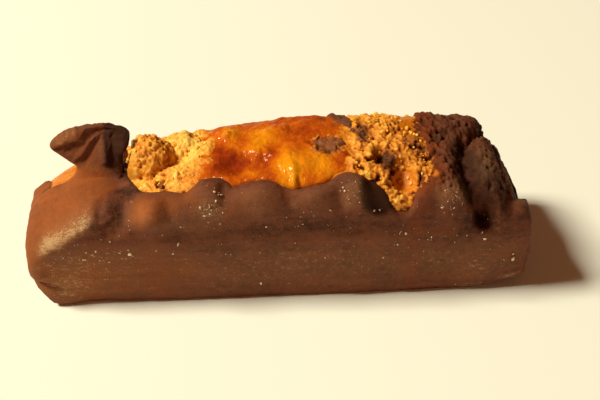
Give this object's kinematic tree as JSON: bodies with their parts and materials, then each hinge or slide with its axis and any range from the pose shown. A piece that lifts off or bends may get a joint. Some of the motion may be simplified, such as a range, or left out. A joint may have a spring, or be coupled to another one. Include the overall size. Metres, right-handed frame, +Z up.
{
  "type": "chocolate-dipped biscotti",
  "caption": "long twice-baked biscuit with a crumbly glazed top, coated in chocolate over its base, sides and ends, with a folded chocolate peak at one end",
  "frame": {"origin": "middle of the box's underside, on the surface that the bar lies on", "axes": "+X along the bar to the end away from the peak, +Y to the back, +Z up; the smooth dipped side faces -Y"},
  "size_m": [0.1174, 0.0328, 0.0369],
  "materials": {
    "baked_crumb": "dry golden crumb with amber glaze, stands in for baked dough",
    "chocolate": "softly shining milk-to-dark chocolate, stands in for set chocolate"
  },
  "bodies": {
    "root": {"biscuit": "baked_crumb", "chocolate_coat": "chocolate"}
  },
  "joints": []
}
